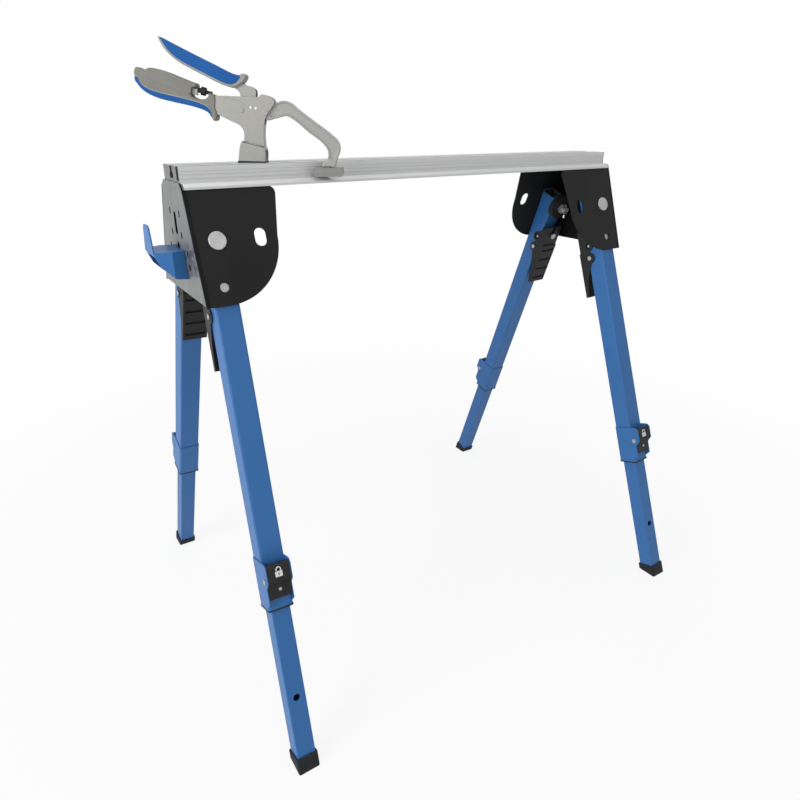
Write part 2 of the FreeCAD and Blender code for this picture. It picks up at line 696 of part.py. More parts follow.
# Clamp lever, between the body's plates, and its grip.
lever_points = spread(lever_outline_shares, lever_run, lever_rise, lever_pin[0], lever_pin[1])
clamp_lever = prism(lever_points, "y", -half_core, half_core)
clamp_lever = clamp_lever.cut(rod(clamp_pin_radius + running_gap, "y", lever_pin[0], lever_pin[1],
                                  -half_body, half_body))
half_grip = grip_thickness / 2
upper_u = lever_pin[0] + upper_grip_place_shares[0] * lever_run
upper_v = lever_pin[1] + upper_grip_place_shares[1] * lever_rise
upper_grip = prism(spread(upper_grip_shares, upper_grip_length, upper_grip_height, upper_u, upper_v), "y",
                   -half_grip, half_grip)
upper_grip = rounded(upper_grip, grip_round, Vec(0, 1, 0)).cut(clamp_lever)

# Lower grip on the body's tang, with the notch for the thumb screw.
lower_u = lower_grip_place_shares[0] * body_length
lower_v = lower_grip_place_shares[1] * body_height
lower_grip = prism(spread(lower_grip_shares, lower_grip_length, lower_grip_height, lower_u, lower_v), "y",
                   -half_grip, half_grip)
lower_grip = rounded(lower_grip, grip_round, Vec(0, 1, 0)).cut(clamp_body)
screw_turn = FreeCAD.Placement(Vec(lower_u + screw_place_shares[0] * lower_grip_length, 0,
                                   lower_v + screw_place_shares[1] * lower_grip_height),
                               FreeCAD.Rotation(Vec(0, 1, 0), screw_slope))
half_screw = screw_length / 2
half_knob = knob_length / 2
screw = rod(screw_radius, "x", 0, 0, -half_screw, half_screw)
knob_low = -half_knob + screw_collar / 2
screw = screw.fuse(rod(knob_radius, "x", 0, 0, knob_low, knob_low + knob_length))
screw = screw.fuse(rod(screw_collar_radius, "x", 0, 0, knob_low - screw_collar, knob_low))
screw = placed(screw.removeSplitter(), screw_turn)
screw_bore = rod(screw_radius + running_gap, "x", 0, 0, -half_screw - running_gap, half_screw + running_gap)
lower_grip = lower_grip.cut(placed(screw_bore, screw_turn))

# Arm with a pocket on each side, a ball at its end and the pad on the ball.
arm_rounds = {}
for corner, share in zip(arm_bend_corners, arm_bend_shares):
    arm_rounds[corner] = share * arm_bend
arm_points = spread(arm_outline_shares, arm_reach, arm_drop, arm_pin[0], arm_pin[1], arm_rounds)
arm = prism(arm_points, "y", -half_core, half_core)
arm = arm.fuse(rod(arm_root_radius, "y", arm_pin[0], arm_pin[1], -half_core, half_core))
pocket_points = spread(arm_pocket_shares, arm_reach, arm_drop, arm_pin[0], arm_pin[1])
arm = arm.cut(prism(pocket_points, "y", half_core - arm_pocket_depth, half_core + cut_over))
arm = arm.cut(prism(pocket_points, "y", -half_core - cut_over, arm_pocket_depth - half_core))
arm = arm.cut(rod(clamp_pin_radius + running_gap, "y", arm_pin[0], arm_pin[1], -half_body, half_body))
ball_u = arm_pin[0] + arm_ball_share * arm_reach
ball_v = arm_pin[1] - ball_drop
neck_top = arm_pin[1] - arm_drop + ball_radius
arm = arm.fuse(rod(arm_neck_radius, "z", ball_u, 0, ball_v, neck_top))
arm = arm.fuse(Part.makeSphere(ball_radius, Vec(ball_u, 0, ball_v))).removeSplitter()
pad_high = ball_v + pad_cap
half_pad = pad_length / 2
pad_low = pad_high - pad_height
pad_points = (
    (ball_u - half_pad, pad_high), (ball_u - half_pad, pad_low + pad_chamfer),
    (ball_u - half_pad + pad_chamfer, pad_low), (ball_u + half_pad - pad_chamfer, pad_low),
    (ball_u + half_pad, pad_low + pad_chamfer), (ball_u + half_pad, pad_high),
)
pad = prism(pad_points, "y", -pad_width / 2, pad_width / 2)
pad = pad.cut(Part.makeSphere(ball_radius + running_gap, Vec(ball_u, 0, ball_v)))

# Every piece is written to its own file, in the finished frame.
os.makedirs("parts", exist_ok=True)


def save(name, shape):
    copy = shape.copy()
    copy.translate(Vec(shift_x, 0, 0))
    copy.exportStep("parts/" + name + ".step")


save("rail", rail)
save("left_end_plate", end_plate.mirror(Vec(0, 0, 0), Vec(1, 0, 0)))
save("right_end_plate", end_plate)
bolts = []
nuts = []
spacers = []
for name, left, front in corners:
    save(name + "_side_plate", mirrored(side_plate, left, front))
    bolts.append(mirrored(placed(bolt, plate_turn), left, front))
    nuts.append(mirrored(placed(nut, plate_turn), left, front))
    spacers.append(mirrored(placed(spacer, plate_turn), left, front))
    pieces = {
        "upper_tube": upper_tube, "collar": collar, "rivets": Part.makeCompound(rivets),
        "guide_sleeve": sleeve, "lower_tube": lower_tube, "height_latch": latch, "height_pin": height_pin,
        "release_lever": lever, "lock_pin": lock_pin,
    }
    for piece, shape in pieces.items():
        save(name + "_" + piece, mirrored(placed(shape, leg_turn), left, front))
    save(name + "_foot", mirrored(foot, left, front))
save("leg_pivot_bolts", Part.makeCompound(bolts + nuts))
save("leg_pivot_spacers", Part.makeCompound(spacers))
save("work_support", support)
clamp_pieces = {
    "clamp_button": button, "clamp_base": boot, "clamp_body": clamp_body,
    "clamp_pins": Part.makeCompound(clamp_pins), "clamp_lever": clamp_lever,
    "clamp_upper_grip": upper_grip, "clamp_lower_grip": lower_grip, "clamp_thumb_screw": screw,
    "clamp_arm": arm, "clamp_pad": pad,
}
for name, shape in clamp_pieces.items():
    save(name, placed(shape, clamp_turn))
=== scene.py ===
import json
import math

import bpy
from mathutils import Matrix, Vector


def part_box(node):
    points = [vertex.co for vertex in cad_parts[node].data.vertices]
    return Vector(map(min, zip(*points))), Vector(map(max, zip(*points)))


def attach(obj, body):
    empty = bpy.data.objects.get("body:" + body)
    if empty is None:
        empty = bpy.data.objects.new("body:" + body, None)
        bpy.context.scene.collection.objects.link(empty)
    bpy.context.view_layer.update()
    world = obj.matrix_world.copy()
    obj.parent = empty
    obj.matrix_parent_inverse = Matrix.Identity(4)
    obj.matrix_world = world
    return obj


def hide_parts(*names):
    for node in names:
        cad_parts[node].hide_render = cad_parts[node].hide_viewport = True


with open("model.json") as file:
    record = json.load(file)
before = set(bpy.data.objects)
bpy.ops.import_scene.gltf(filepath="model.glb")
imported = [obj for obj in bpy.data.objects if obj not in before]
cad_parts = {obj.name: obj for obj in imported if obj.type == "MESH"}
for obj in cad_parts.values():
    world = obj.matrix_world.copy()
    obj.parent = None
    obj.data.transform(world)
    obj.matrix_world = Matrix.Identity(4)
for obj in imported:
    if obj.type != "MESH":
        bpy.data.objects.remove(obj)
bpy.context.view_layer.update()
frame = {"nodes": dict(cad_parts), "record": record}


# Rail: one aluminium extrusion with a T-slot along the middle of its top and a groove nearer the front.
# It is left as it comes from the press, so faint drawing lines run along it.
# Its ends are sawn, and the right end shows as a dark edge, a painted shade for its end face in the last
# 1.4 mm.
# The sawn end faces are painted darker than the rail, a painted shade, and the insides of the T-slot and
# the groove are painted near black as shade.
class Signal:
    def __init__(self, tree, socket=None):
        self.tree = tree
        self.socket = socket

    def node(self, kind, settings, sockets, output=0):
        made = self.tree.nodes.new(kind)
        for name, value in settings.items():
            setattr(made, name, value)
        for key, value in sockets.items():
            plug(value, made.inputs[key])
        return Signal(self.tree, made.outputs[output])

    def maths(self, operation, *values):
        return self.node("ShaderNodeMath", {"operation": operation}, dict(enumerate(values)))

    def __add__(self, other):
        return self.maths("ADD", self, other)

    def __radd__(self, other):
        return self.maths("ADD", other, self)

    def __sub__(self, other):
        return self.maths("SUBTRACT", self, other)

    def __rsub__(self, other):
        return self.maths("SUBTRACT", other, self)

    def __mul__(self, other):
        return self.maths("MULTIPLY", self, other)

    def __rmul__(self, other):
        return self.maths("MULTIPLY", other, self)

    def __abs__(self):
        return self.maths("ABSOLUTE", self)

    def lengthways(self):
        return self.node("ShaderNodeSeparateXYZ", {}, {"Vector": self}, "X")

    def stretched(self, x, y, z):
        return self.node("ShaderNodeMapping", {}, {"Vector": self, "Scale": (x, y, z)})

    def noise(self, scale, detail=2.0, rough=0.5):
        sockets = {"Vector": self, "Scale": scale, "Detail": detail, "Roughness": rough}
        return self.node("ShaderNodeTexNoise", {}, sockets)

    def between(self, low, high):
        return self.node("ShaderNodeMapRange", {}, {"Value": self, "From Min": low, "From Max": high})

    def blend(self, first, second):
        return self.node("ShaderNodeMix", {"data_type": "RGBA"}, {0: self, 6: first, 7: second}, 2)

    def bump(self, depth, strength):
        sockets = {"Strength": strength, "Distance": depth, "Height": self}
        return self.node("ShaderNodeBump", {}, sockets, "Normal")


def plug(value, socket):
    if isinstance(value, Signal):
        value.tree.links.new(value.socket, socket)
    else:
        socket.default_value = value


def feed(shader, **sockets):
    for name, value in sockets.items():
        plug(value, shader.inputs[name.replace("_", " ")])


def new_finish(name):
    made = bpy.data.materials.new(name)
    made.use_nodes = True
    tree = made.node_tree
    place = Signal(tree).node("ShaderNodeTexCoord", {}, {}, "Object")
    return made, place, tree.nodes["Principled BSDF"]


def select_only(piece):
    bpy.ops.object.select_all(action="DESELECT")
    piece.select_set(True)
    bpy.context.view_layer.objects.active = piece


def open_mesh(piece):
    select_only(piece)
    bpy.ops.object.mode_set(mode="EDIT")
    bpy.ops.mesh.select_all(action="SELECT")


def copy_of(piece, name):
    copy = bpy.data.objects.new(name, piece.data.copy())
    bpy.context.scene.collection.objects.link(copy)
    return copy


solid_weld = 2e-6
flat_angle = math.radians(0.5)
sharp_angle = math.radians(32)
nodes = frame["nodes"]
record = frame["record"]
body_of = {node: body for body, members in record["behaviour"]["bodies"].items() for node in members}


def traced(node):
    piece = copy_of(nodes[node], node + "_made")
    open_mesh(piece)
    bpy.ops.mesh.customdata_custom_splitnormals_clear()
    bpy.ops.mesh.remove_doubles(threshold=solid_weld)
    bpy.ops.mesh.dissolve_limited(angle_limit=flat_angle)
    bpy.ops.object.mode_set(mode="OBJECT")
    return piece


def shaded(piece, sharp):
    bpy.ops.object.shade_smooth_by_angle(angle=sharp)
    flats = piece.modifiers.new("flat_faces", "WEIGHTED_NORMAL")
    flats.keep_sharp = True
    bpy.ops.object.modifier_apply(modifier=flats.name)


def broken_edges(piece, width, segments=2):
    select_only(piece)
    bevel = piece.modifiers.new("broken_edges", "BEVEL")
    bevel.width = width
    bevel.segments = segments
    bevel.limit_method = "ANGLE"
    bevel.angle_limit = sharp_angle
    bpy.ops.object.modifier_apply(modifier=bevel.name)
    shaded(piece, sharp_angle)


def coated(piece, finish):
    piece.data.materials.clear()
    piece.data.materials.append(finish)


def stand_in(piece, node, finish, edge, segments=2):
    broken_edges(piece, edge, segments)
    coated(piece, finish)
    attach(piece, body_of[node])
    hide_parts(node)
    return piece


def dressed(node, finish, edge, segments=2):
    return stand_in(traced(node), node, finish, edge, segments)


def retouch(piece, finish, chosen):
    piece.data.materials.append(finish)
    for face in piece.data.polygons:
        if chosen(face.center, face.normal):
            face.material_index = len(piece.data.materials) - 1


rail_low, rail_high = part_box("rail")
rail_grey = (0.605, 0.607, 0.61, 1)
rail_bright = (0.64, 0.642, 0.645, 1)
painted_end_shade = (0.12, 0.12, 0.122, 1)
end_shade_start = 0.0018
end_shade_full = 0.0014
rail_finish, place, shader = new_finish("drawn_aluminium")
lines = place.stretched(1.5, 420, 420).noise(1.0, detail=3.0, rough=0.55)
fine = place.stretched(12, 2400, 2400).noise(1.0)
clouds = place.noise(6.0, detail=3.0)
metal = (0.6 * lines + 0.4 * clouds).between(0.25, 0.75).blend(rail_grey, rail_bright)
# Painted shade: the last 1.4 mm at the right end is painted near black for its end face in shade.
end_shade_band = place.lengthways().between(rail_high.x - end_shade_start, rail_high.x - end_shade_full)
feed(shader, Base_Color=end_shade_band.blend(metal, painted_end_shade), Roughness=0.46 + 0.12 * fine, Metallic=0.3,
     Normal=(0.5 * lines + 0.5 * fine).bump(depth=0.0002, strength=0.08))

# Painted shade: near black for the insides of the T-slot, the groove and the upper tubes.
hollow_shade_black = (0.035, 0.035, 0.036, 1)
hollow_shade_grey = (0.07, 0.07, 0.072, 1)
hollow_shade_finish, place, shader = new_finish("painted_hollow_shade")
blotch = place.stretched(2, 300, 300).noise(1.0, detail=3.0)
feed(shader, Base_Color=blotch.between(0.3, 0.7).blend(hollow_shade_black, hollow_shade_grey), Roughness=0.6)

# Painted shade: the sawn ends are painted darker than the rail; the kerf marks are their own.
sawn_shade_grey = (0.19, 0.19, 0.192, 1)
sawn_shade_bright = (0.25, 0.25, 0.252, 1)
sawn_end_shade_finish, place, shader = new_finish("sawn_end_painted_shade")
kerf = place.stretched(900, 40, 900).noise(1.0, detail=3.0)
feed(shader, Base_Color=kerf.between(0.3, 0.7).blend(sawn_shade_grey, sawn_shade_bright), Roughness=0.5 + 0.1 * kerf,
     Metallic=0.4, Normal=kerf.bump(depth=0.0003, strength=0.2))

slot_half = 0.0078
groove = (-0.0320, -0.0230)
slot_lip = 0.0008
face_slack = 0.0001
facing = 0.9
sideways = 0.5


def inside_slot(centre, normal):
    in_slot = abs(centre.y) < slot_half
    in_groove = groove[0] - face_slack < centre.y < groove[1] + face_slack
    within = rail_low.z + slot_lip < centre.z < rail_high.z - slot_lip
    return (in_slot or in_groove) and within and abs(normal.x) < sideways


def rail_end(centre, normal):
    return abs(normal.x) > facing


rail = dressed("rail", rail_finish, edge=0.0003)
retouch(rail, hollow_shade_finish, inside_slot)
retouch(rail, sawn_end_shade_finish, rail_end)


# Side plates: laser-cut steel under a matt black powder coat with a fine pebbled skin.
# They are welded to the end plate's edges and screwed up under the rail.
# Next to the end plate they carry a near-black band, a painted shade along that edge.
corners = ("left_front", "left_back", "right_front", "right_back")
shift = Vector(((rail_low.x + rail_high.x) / 2, 0, 0))
plate_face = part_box("left_end_plate")[0].x
end_reach = shift.x - plate_face
bend_shade_start = 0.0065
bend_shade_full = 0.0035
coat_black = (0.013, 0.013, 0.0135, 1)
coat_worn = (0.018, 0.018, 0.0185, 1)
bend_shade_black = (0.003, 0.003, 0.0035, 1)
black_finish, place, shader = new_finish("black_powder_coat")
pebble = place.noise(1500.0, detail=3.0, rough=0.55)
haze = place.noise(14.0, detail=3.0)
from_middle = abs(place.lengthways() - shift.x)
# Painted shade: a near-black band along the side plates by the end plate.
bend_shade_band = from_middle.between(end_reach - bend_shade_start, end_reach - bend_shade_full)
powder = haze.between(0.3, 0.75).blend(coat_black, coat_worn)
feed(shader, Base_Color=bend_shade_band.blend(powder, bend_shade_black), Roughness=0.5 + 0.16 * pebble,
     Specular_IOR_Level=0.14, Normal=pebble.bump(depth=0.00025, strength=0.35))
for corner in corners:
    dressed(corner + "_side_plate", black_finish, edge=0.00045)


# End plates: galvanised sheet between the side plates, punched with rows of slots.
# The zinc has set in flakes, each with its own tone.
# The inner face and the walls of the slots are black, and the side edges are painted black as shade.
zinc_dark = (0.145, 0.147, 0.15, 1)
zinc_bright = (0.29, 0.293, 0.297, 1)
zinc_finish, place, shader = new_finish("galvanised_sheet")
flake_sockets = {"Vector": place, "Scale": 170.0, "Randomness": 1.0}
flakes = place.node("ShaderNodeTexVoronoi", {}, flake_sockets, "Color")
flake_tone = flakes.node("ShaderNodeSeparateColor", {}, {"Color": flakes})
streaks = place.stretched(60, 60, 14).noise(1.0, detail=4.0, rough=0.65)
grain = place.noise(900.0)
mottle = (0.45 * flake_tone + 0.55 * streaks).between(0.2, 0.8)
feed(shader, Base_Color=mottle.blend(zinc_dark, zinc_bright), Roughness=0.34 + 0.24 * flake_tone,
     Metallic=0.7, Normal=(0.7 * streaks + 0.3 * grain).bump(depth=0.0005, strength=0.3))
slots_half = 0.028
slots_low = 0.612
slots_high = 0.735
edge_turn = 0.3


# The side edges are painted black as shade; the inner face and the slot walls are black.
def black_face(centre, normal):
    slot_wall = abs(centre.y) < slots_half and slots_low < centre.z < slots_high
    side_edge = abs(centre.y) > slots_half and abs(normal.y) > edge_turn
    return normal.x * inward > facing or (abs(normal.x) < sideways and (slot_wall or side_edge))


for node, inward in (("left_end_plate", 1), ("right_end_plate", -1)):
    retouch(dressed(node, zinc_finish, edge=0.0003), black_finish, black_face)


# Leg pivots: zinc-plated bolts with low domed heads, their nuts, and black spacers under the nuts.
# The plating is dull and finely speckled, and the spacers are moulded.
plating_dull = (0.36, 0.36, 0.355, 1)
plating_bright = (0.48, 0.48, 0.475, 1)
plated_finish, place, shader = new_finish("dull_zinc_plate")
speck = place.noise(700.0, detail=3.0, rough=0.7)
blotch = place.noise(90.0)
zinc = (0.6 * speck + 0.4 * blotch).between(0.32, 0.68).blend(plating_dull, plating_bright)
feed(shader, Base_Color=zinc, Roughness=0.36 + 0.2 * speck, Metallic=0.7,
     Normal=speck.bump(depth=0.0002, strength=0.25))
dressed("leg_pivot_bolts", plated_finish, edge=0.0003)

mould_black = (0.012, 0.012, 0.0125, 1)
mould_worn = (0.019, 0.019, 0.0195, 1)
moulded_finish, place, shader = new_finish("black_moulding")
stipple = place.noise(2200.0, rough=0.6)
sheen = place.noise(22.0)
feed(shader, Base_Color=sheen.between(0.3, 0.7).blend(mould_black, mould_worn),
     Roughness=0.44 + 0.2 * stipple, Specular_IOR_Level=0.25,
     Normal=stipple.bump(depth=0.0002, strength=0.3))
leg_tilt = math.radians(20)
leg_lean = math.radians(2)
pivot = Vector((0.3534, 0.0698, 0.675))
leg_turn = Matrix.Rotation(leg_tilt, 4, "X") @ Matrix.Rotation(-leg_lean, 4, "Y")
leg_frame = Matrix.Translation(pivot) @ leg_turn


def at_corner(corner):
    left = -1 if corner.startswith("left") else 1
    front = -1 if corner.endswith("front") else 1
    return Matrix.Translation(shift) @ Matrix.Diagonal((left, front, 1, 1)) @ leg_frame


spacer_growth = 1.5
bolt_room = 0.010
spacers = traced("leg_pivot_spacers")
for vertex in spacers.data.vertices:
    corner = ("left" if vertex.co.x < shift.x else "right") + ("_front" if vertex.co.y < 0 else "_back")
    spot = at_corner(corner).inverted() @ vertex.co
    if math.hypot(spot.x, spot.z) > bolt_room:
        vertex.co = at_corner(corner) @ Vector((spot.x * spacer_growth, spot.y, spot.z * spacer_growth))
stand_in(spacers, "leg_pivot_spacers", moulded_finish, edge=0.0005)


# Legs: square steel tubes, the lower one sliding in the upper, under a satin blue powder coat.
# The coat has a slight orange peel, and the upper tubes are painted near black inside as shade.
# A black sleeve guides the lower tube, and rivets hold the latch and the lever.
coat_blue = (0.032, 0.150, 0.405, 1)
coat_pale = (0.038, 0.163, 0.430, 1)
blue_finish, place, shader = new_finish("blue_powder_coat")
peel = place.noise(420.0, rough=0.45)
drift = place.noise(7.0)
feed(shader, Base_Color=drift.between(0.3, 0.7).blend(coat_blue, coat_pale), Roughness=0.36 + 0.12 * peel,
     Specular_IOR_Level=0.32, Normal=peel.bump(depth=0.0003, strength=0.14))
tube_axis = -0.0202
tube_room = 0.0155


# Painted shade: the insides of the upper tubes take the near-black hollow finish.
def inside_tube(centre, normal):
    spot = to_leg @ centre
    within = abs(spot.x) < tube_room and abs(spot.y - tube_axis) < tube_room
    return within and abs((to_leg.to_3x3() @ normal).z) < sideways


for corner in corners:
    to_leg = at_corner(corner).inverted()
    upper_tube = dressed(corner + "_upper_tube", blue_finish, edge=0.00025)
    retouch(upper_tube, hollow_shade_finish, inside_tube)
    dressed(corner + "_lower_tube", blue_finish, edge=0.00025)
    dressed(corner + "_guide_sleeve", moulded_finish, edge=0.0002)
    dressed(corner + "_rivets", plated_finish, edge=0.0005)


# Feet: black rubber caps pushed over the tube ends, cut level with the floor.
# The rubber is dull, with scuffs and a little dust.
rubber_black = (0.0135, 0.0145, 0.0165, 1)
rubber_dusty = (0.026, 0.0275, 0.030, 1)
rubber_finish, place, shader = new_finish("foot_rubber")
crumb = place.noise(1100.0, detail=3.0, rough=0.65)
dust = place.noise(38.0, detail=4.0, rough=0.6)
feed(shader, Base_Color=dust.between(0.45, 0.8).blend(rubber_black, rubber_dusty),
     Roughness=0.66 + 0.2 * crumb, Specular_IOR_Level=0.25,
     Normal=crumb.bump(depth=0.0004, strength=0.35))
for corner in corners:
    dressed(corner + "_foot", rubber_finish, edge=0.0011, segments=3)


# Height latches: black moulded rockers between the ears of blue steel collars, each with a plated pin.
# The collar is open above the rocker, and a step crosses the rocker's thumb face, painted near black as
# shade so that it shows as a dark line.
# An open padlock sign is printed above the line in white.
print_worn = (0.70, 0.70, 0.69, 1)
print_white = (0.86, 0.86, 0.85, 1)
sign_finish, place, shader = new_finish("white_print")
wear = place.noise(500.0, detail=3.0)
feed(shader, Base_Color=wear.between(0.25, 0.6).blend(print_worn, print_white), Roughness=0.5)

# Painted shade: near black for the faces of the step on the rocker.
step_shade_black = (0.002, 0.002, 0.002, 1)
step_shade_grey = (0.004, 0.004, 0.004, 1)
step_shade_finish, place, shader = new_finish("painted_step_shade")
shade_blotch = place.noise(300.0)
feed(shader, Base_Color=shade_blotch.between(0.3, 0.7).blend(step_shade_black, step_shade_grey), Roughness=0.8,
     Specular_IOR_Level=0.1)


def settle(piece, matrix):
    select_only(piece)
    piece.matrix_world = matrix
    bpy.ops.object.transform_apply(location=True, rotation=True, scale=True)
    open_mesh(piece)
    bpy.ops.mesh.normals_make_consistent(inside=False)
    bpy.ops.object.mode_set(mode="OBJECT")


def oblong(left, right, low, high):
    return (left, low), (right, low), (right, high), (left, high)


def arc(middle, radius, turns):
    return [(middle[0] + radius * math.cos(turn), middle[1] + radius * math.sin(turn)) for turn in turns]


def plate(name, outline, back, front, rounding=0.0):
    bpy.ops.object.select_all(action="DESELECT")
    bpy.ops.mesh.primitive_circle_add(vertices=len(outline), fill_type="NGON")
    piece = bpy.context.object
    piece.name = name
    for vertex, (x, z) in zip(piece.data.vertices, outline):
        vertex.co = (x, back, z)
    open_mesh(piece)
    if rounding:
        bpy.ops.mesh.bevel(affect="VERTICES", offset=rounding, segments=5, clamp_overlap=True)
        bpy.ops.mesh.select_all(action="SELECT")
    bpy.ops.mesh.extrude_region_move(TRANSFORM_OT_translate={"value": (0, front - back, 0)})
    bpy.ops.mesh.select_all(action="SELECT")
    bpy.ops.mesh.normals_make_consistent(inside=False)
    bpy.ops.object.mode_set(mode="OBJECT")
    return piece


def carve(piece, tool):
    select_only(piece)
    cut = piece.modifiers.new("carve", "BOOLEAN")
    cut.operation = "DIFFERENCE"
    cut.solver = "EXACT"
    cut.object = tool
    bpy.ops.object.modifier_apply(modifier=cut.name)
    bpy.data.objects.remove(tool)


def joined(first, second):
    select_only(first)
    second.select_set(True)
    bpy.ops.object.join()
    return first


sign_half = 0.0049
sign_body = 0.0074
sign_gap = 0.0013
sign_depth = 0.0005
sign_round = 0.0008
keyhole_outline = (
    (-0.0006, 0.0016), (0.0006, 0.0016), (0.0006, 0.0034), (0.0011, 0.0042),
    (0.0006, 0.0050), (-0.0006, 0.0050), (-0.0011, 0.0042), (-0.0006, 0.0034),
)
shackle_inner = 0.0023
shackle_outer = 0.0037
shackle_leg = 0.0025
half_turn = [math.radians(18 * step) for step in range(11)]
bow_middle = (0, sign_body + shackle_leg)
shackle_outline = [
    (shackle_outer, sign_body + sign_gap), *arc(bow_middle, shackle_outer, half_turn),
    (-shackle_outer, sign_body), (-shackle_inner, sign_body),
    *arc(bow_middle, shackle_inner, half_turn[::-1]), (shackle_inner, sign_body + sign_gap),
]
sign_back = -sign_depth / 2
sign_front = sign_depth / 2
padlock = plate("padlock", oblong(-sign_half, sign_half, 0, sign_body), sign_back, sign_front, sign_round)
carve(padlock, plate("keyhole", keyhole_outline, -sign_depth, sign_depth))
joined(padlock, plate("shackle", shackle_outline, sign_back, sign_front))
coated(padlock, sign_finish)

ear_gap = 0.01625
tube_skin = -0.0039
collar_top = -0.4130
mouth_floor = -0.4195
mouth_top = -0.40
crown_half = 0.03
crown_top = -0.39
crown_back = -0.06
collar_front = 0.03
latch_brow = -0.4225
brow_rise = Vector((0, 0, 0.0035))
step_half = 0.02
step_low = -0.4428
step_high = -0.4410
step_depth = 0.0106
step_front = 0.0140
face_place = Vector((0, 0.01184, -0.4330))
face_height = 0.0224
face_rise = 0.00048
face_slope = math.atan(face_rise / face_height)


def in_step(centre, normal):
    spot = to_leg @ centre
    return step_low - face_slack < spot.z < step_high + face_slack and spot.y > step_depth - 2 * face_slack


for corner in corners:
    from_leg = at_corner(corner)
    to_leg = from_leg.inverted()
    collar = traced(corner + "_collar")
    crown = plate("crown", oblong(-crown_half, crown_half, collar_top, crown_top), crown_back, collar_front)
    mouth = plate("mouth", oblong(-ear_gap, ear_gap, mouth_floor, mouth_top), tube_skin, collar_front)
    for tool in (crown, mouth):
        settle(tool, from_leg)
        carve(collar, tool)
    stand_in(collar, corner + "_collar", blue_finish, edge=0.0004)
    latch = traced(corner + "_height_latch")
    for vertex in latch.data.vertices:
        spot = to_leg @ vertex.co
        if spot.z > latch_brow:
            vertex.co = from_leg @ (spot + brow_rise)
    step = plate("step", oblong(-step_half, step_half, step_low, step_high), step_depth, step_front)
    settle(step, from_leg)
    carve(latch, step)
    stand_in(latch, corner + "_height_latch", moulded_finish, edge=0.0004)
    # The step's faces take the painted shade.
    retouch(latch, step_shade_finish, in_step)
    dressed(corner + "_height_pin", plated_finish, edge=0.0004)
    sign = copy_of(padlock, corner + "_padlock_sign")
    settle(sign, from_leg @ Matrix.Translation(face_place) @ Matrix.Rotation(face_slope, 4, "X"))
    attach(sign, corner + "_latch")
bpy.data.objects.remove(padlock)


# Guide lips: black moulded rims at the mouths of the upper tubes, just below the collars.
# Each is a square frame that the lower tube slides through.
lip_outer = 0.0180
lip_outer_round = 0.0034
lip_inner = 0.0148
lip_inner_round = 0.0014
lip_height = 0.0022
upper_length = 0.480
lip_place = Matrix.Translation((0, tube_axis, -upper_length - lip_height))
stood_up = Matrix.Rotation(math.radians(90), 4, "X")
rim_outline = oblong(-lip_outer, lip_outer, -lip_outer, lip_outer)
bore_outline = oblong(-lip_inner, lip_inner, -lip_inner, lip_inner)
rim = plate("rim", rim_outline, 0, lip_height, lip_outer_round)
carve(rim, plate("bore", bore_outline, -lip_height, 2 * lip_height, lip_inner_round))
broken_edges(rim, width=0.0004)
coated(rim, moulded_finish)
for corner in corners:
    lip = copy_of(rim, corner + "_guide_lip")
    settle(lip, at_corner(corner) @ lip_place @ stood_up)
    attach(lip, corner + "_leg")
bpy.data.objects.remove(rim)


# Fold locks: grooved black release levers on the inboard sides, each drawing a plated pin.
# The levers are moulded, with soft edges, and black washers lie between them and the tube.
washer_radius = 0.0085
washer_bore = 0.0026
washer_depth = 0.00034
half_tube = 0.0162
stop_place = (-0.0304, -0.067)
full_turn = [math.radians(10 * step) for step in range(36)]
disc = plate("disc", arc((0, 0), washer_radius, full_turn), 0, washer_depth)
carve(disc, plate("bore", arc((0, 0), washer_bore, full_turn), -washer_depth, 2 * washer_depth))
broken_edges(disc, width=0.0001, segments=1)
coated(disc, moulded_finish)
for corner in corners:
    dressed(corner + "_release_lever", moulded_finish, edge=0.0006)
    dressed(corner + "_lock_pin", plated_finish, edge=0.0005)
    for side, name in ((-1, "_left_washer"), (1, "_right_washer")):
        washer = copy_of(disc, corner + name)
        settle(washer, at_corner(corner) @ Matrix.Translation((side * half_tube, *stop_place))
               @ Matrix.Rotation(math.radians(-90 * side), 4, "Z"))
        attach(washer, corner + "_leg")
bpy.data.objects.remove(disc)


# Work support: a folded steel bracket with an upturned lip, hooked in the left end plate.
# It has the same blue coat as the legs, and hangs a hair clear of the plate.
hair_gap = 0.00015
same_place = 1e-5
support = traced("work_support")
for vertex in support.data.vertices:
    if abs(vertex.co.x - plate_face) < same_place:
        vertex.co.x -= hair_gap
stand_in(support, "work_support", blue_finish, edge=0.0005)


# Bench clamp: cast and stamped steel with a satin nickel face, on a button that slides in the T-slot.
# Two pins hold its lever and arm, the cast pad hangs on the arm's ball, and a thumb screw sets its reach.
# The castings keep a faint skin, and their edges are tumbled soft.
nickel_dull = (0.325, 0.322, 0.303, 1)
nickel_bright = (0.363, 0.36, 0.339, 1)
steel_finish, place, shader = new_finish("satin_nickel")
skin = place.noise(260.0, detail=4.0, rough=0.6)
brush = place.stretched(90, 90, 1500).noise(1.0)
nickel = (0.6 * skin + 0.4 * brush).between(0.25, 0.75).blend(nickel_dull, nickel_bright)
feed(shader, Base_Color=nickel, Roughness=0.42 + 0.12 * skin, Metallic=0.4,
     Normal=skin.bump(depth=0.0002, strength=0.15))

cast_dark = (0.20, 0.198, 0.19, 1)
cast_grey = (0.27, 0.268, 0.255, 1)
pad_finish, place, shader = new_finish("dull_cast_steel")
scale = place.noise(420.0, detail=4.0, rough=0.65)
feed(shader, Base_Color=scale.between(0.3, 0.7).blend(cast_dark, cast_grey), Roughness=0.5 + 0.15 * scale,
     Metallic=0.3, Normal=scale.bump(depth=0.0003, strength=0.25))
clamp_place = Vector((-0.2715, 0, 0.760)) + shift
clamp_turn = math.radians(-32)
clamp_frame = Matrix.Translation(clamp_place) @ Matrix.Rotation(clamp_turn, 4, "Z")
to_clamp = clamp_frame.inverted()
screw_bit = -0.0622


